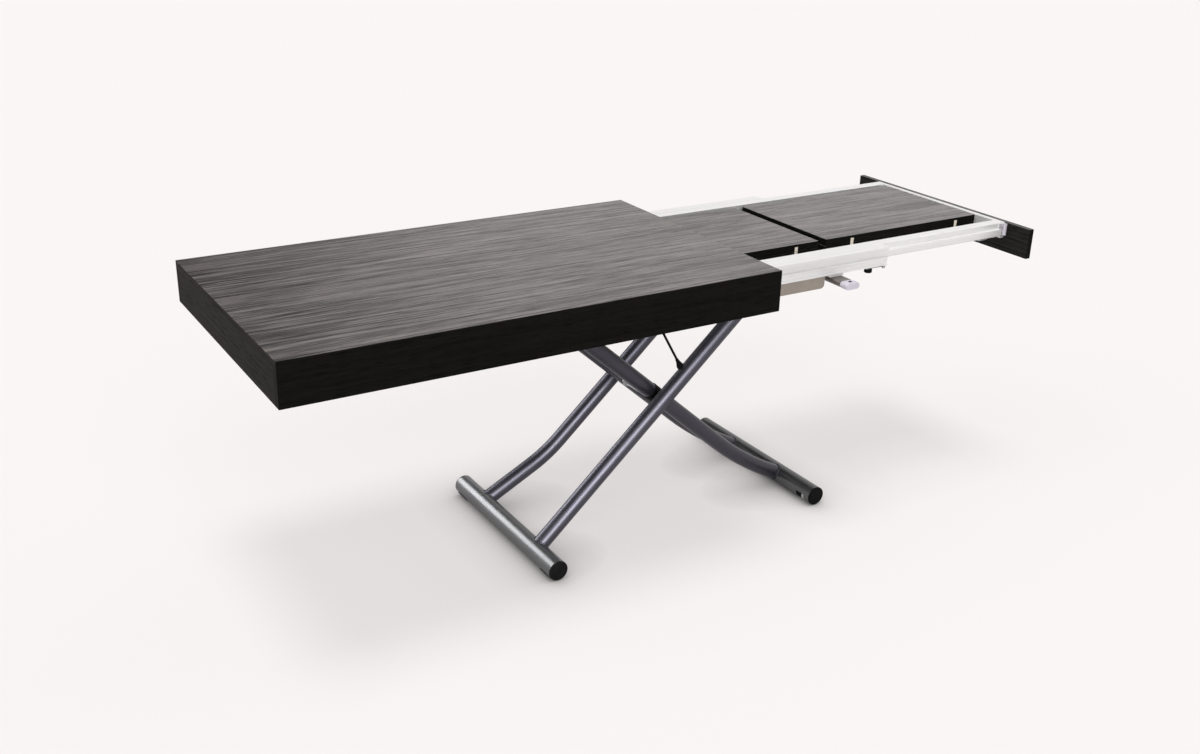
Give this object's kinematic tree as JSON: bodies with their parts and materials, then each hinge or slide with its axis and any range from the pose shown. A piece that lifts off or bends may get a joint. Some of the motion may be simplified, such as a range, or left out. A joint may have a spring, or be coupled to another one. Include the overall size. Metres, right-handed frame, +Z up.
{
  "type": "extending dining table",
  "caption": "Height-adjustable extending table: a veneered box top slides off a crossed-tube scissor base while a rail frame with folded leaves and an end panel draws out the other way.",
  "frame": {"origin": "floor point under the middle of the part-open table", "axes": "+X along the table towards the end panel, +Y away from the side with the release lever, +Z up"},
  "size_m": [2.066, 0.7, 0.722],
  "materials": {
    "veneer": "dark charcoal oak veneer, satin",
    "plain_wood": "plain softwood",
    "bearer_paint": "taupe paint",
    "rail": "satin anodised",
    "leg_paint": "graphite metallic paint",
    "foot_paint": "grey metallic paint",
    "frame_paint": "dark grey paint",
    "steel": "zinc plated",
    "black_plastic": "black",
    "pad_rubber": "black rubber",
    "white_plastic": "off-white nylon"
  },
  "bodies": {
    "chassis": {"outer_rail_near": "rail", "outer_rail_far": "rail", "bearer_near": "bearer_paint", "bearer_far": "bearer_paint", "cross_bar_left": "frame_paint", "cross_bar_right": "frame_paint", "guide_bar": "rail", "guide_caps": "white_plastic", "guide_saddles": "white_plastic", "hinge_bracket_near": "frame_paint", "hinge_bracket_far": "frame_paint", "roller_track_near": "frame_paint", "roller_track_far": "frame_paint", "track_hangers": "frame_paint", "lever_bracket": "frame_paint", "latch_bracket": "steel"},
    "main_top": {"top_board": "veneer", "apron_front": "veneer", "apron_back": "veneer", "apron_left": "veneer", "corner_blocks": "plain_wood", "guide_shoes": "white_plastic"},
    "draw_frame": {"inner_rail_near": "rail", "inner_rail_far": "rail", "end_cross_rail": "rail", "end_panel": "veneer", "corner_brackets": "steel", "bracket_screws": "steel", "leaf_rests": "steel", "leaf_1_lower_board": "veneer", "leaf_1_upper_board": "veneer", "leaf_1_straps": "white_plastic", "leaf_dowels": "plain_wood"},
    "leaf_2_lower": {"leaf_2_lower_board": "veneer", "leaf_2_lower_straps": "white_plastic"},
    "leaf_2_upper": {"leaf_2_upper_board": "veneer", "leaf_2_upper_straps": "white_plastic"},
    "outer_leg_frame": {"leg_near_straight": "leg_paint", "leg_far_bent": "leg_paint", "hinge_shaft": "steel", "pivot_shaft": "steel", "foot_tube_left": "foot_paint", "foot_caps_left": "black_plastic", "foot_pads": "pad_rubber"},
    "inner_leg_frame": {"leg_inner_near": "leg_paint", "leg_inner_far": "leg_paint", "roller_shaft": "steel", "foot_tube_right": "foot_paint", "foot_caps_right": "black_plastic", "wheel_housings": "black_plastic", "leg_spacer": "black_plastic"},
    "wheel_near": {"wheel_near": "white_plastic"},
    "wheel_far": {"wheel_far": "white_plastic"},
    "roller_near": {"roller_near": "white_plastic"},
    "roller_far": {"roller_far": "white_plastic"},
    "release_lever": {"release_lever": "black_plastic", "lever_ball": "black_plastic"},
    "rail_latch": {"latch_strip": "steel", "latch_knob": "black_plastic"}
  },
  "joints": [
    {"name": "top_slide", "type": "slide", "parent": "chassis", "child": "main_top", "axis": [-1, 0, 0], "range_m": [-0.463, 0.062]},
    {"name": "frame_slide", "type": "slide", "parent": "chassis", "child": "draw_frame", "axis": [1, 0, 0], "range_m": [-0.403, 0.122]},
    {"name": "leaf_lift", "type": "slide", "parent": "draw_frame", "child": "leaf_2_lower", "axis": [0, 0, 1], "range_m": [0, 0.12]},
    {"name": "leaf_unfold", "type": "hinge", "parent": "leaf_2_lower", "child": "leaf_2_upper", "pos_m": [0.7365, -0.15, 0.6833], "axis": [1, 0, 0], "range_deg": [0, 140]},
    {"name": "lift_hinge", "type": "hinge", "parent": "chassis", "child": "outer_leg_frame", "pos_m": [0.37066, 0, 0.62], "axis": [0, -1, 0], "range_deg": [-24, 4]},
    {"name": "scissor_pivot", "type": "hinge", "parent": "outer_leg_frame", "child": "inner_leg_frame", "pos_m": [0.03, 0, 0.31593], "axis": [0, 1, 0], "range_deg": [-48, 8]},
    {"name": "wheel_near_spin", "type": "hinge", "parent": "inner_leg_frame", "child": "wheel_near", "pos_m": [0.424, -0.225, 0.018], "axis": [0, 1, 0], "continuous": true},
    {"name": "wheel_far_spin", "type": "hinge", "parent": "inner_leg_frame", "child": "wheel_far", "pos_m": [0.424, 0.225, 0.018], "axis": [0, 1, 0], "continuous": true},
    {"name": "roller_near_spin", "type": "hinge", "parent": "inner_leg_frame", "child": "roller_near", "pos_m": [-0.31066, -0.2325, 0.62], "axis": [0, 1, 0], "continuous": true},
    {"name": "roller_far_spin", "type": "hinge", "parent": "inner_leg_frame", "child": "roller_far", "pos_m": [-0.31066, 0.2325, 0.62], "axis": [0, 1, 0], "continuous": true},
    {"name": "release_lever_swing", "type": "hinge", "parent": "chassis", "child": "release_lever", "pos_m": [-0.095, -0.205, 0.622], "axis": [0, -1, 0], "range_deg": [0, 15], "stiffness_Nm_per_rad": 0.4, "springref_deg": -11.46},
    {"name": "rail_latch_swing", "type": "hinge", "parent": "chassis", "child": "rail_latch", "pos_m": [0.564, -0.26, 0.6504], "axis": [0, -1, 0], "range_deg": [0, 10], "stiffness_Nm_per_rad": 0.2, "springref_deg": -14.32}
  ],
  "couplings": [
    {"joint": "scissor_pivot", "follows": "lift_hinge", "ratio": 2}
  ]
}
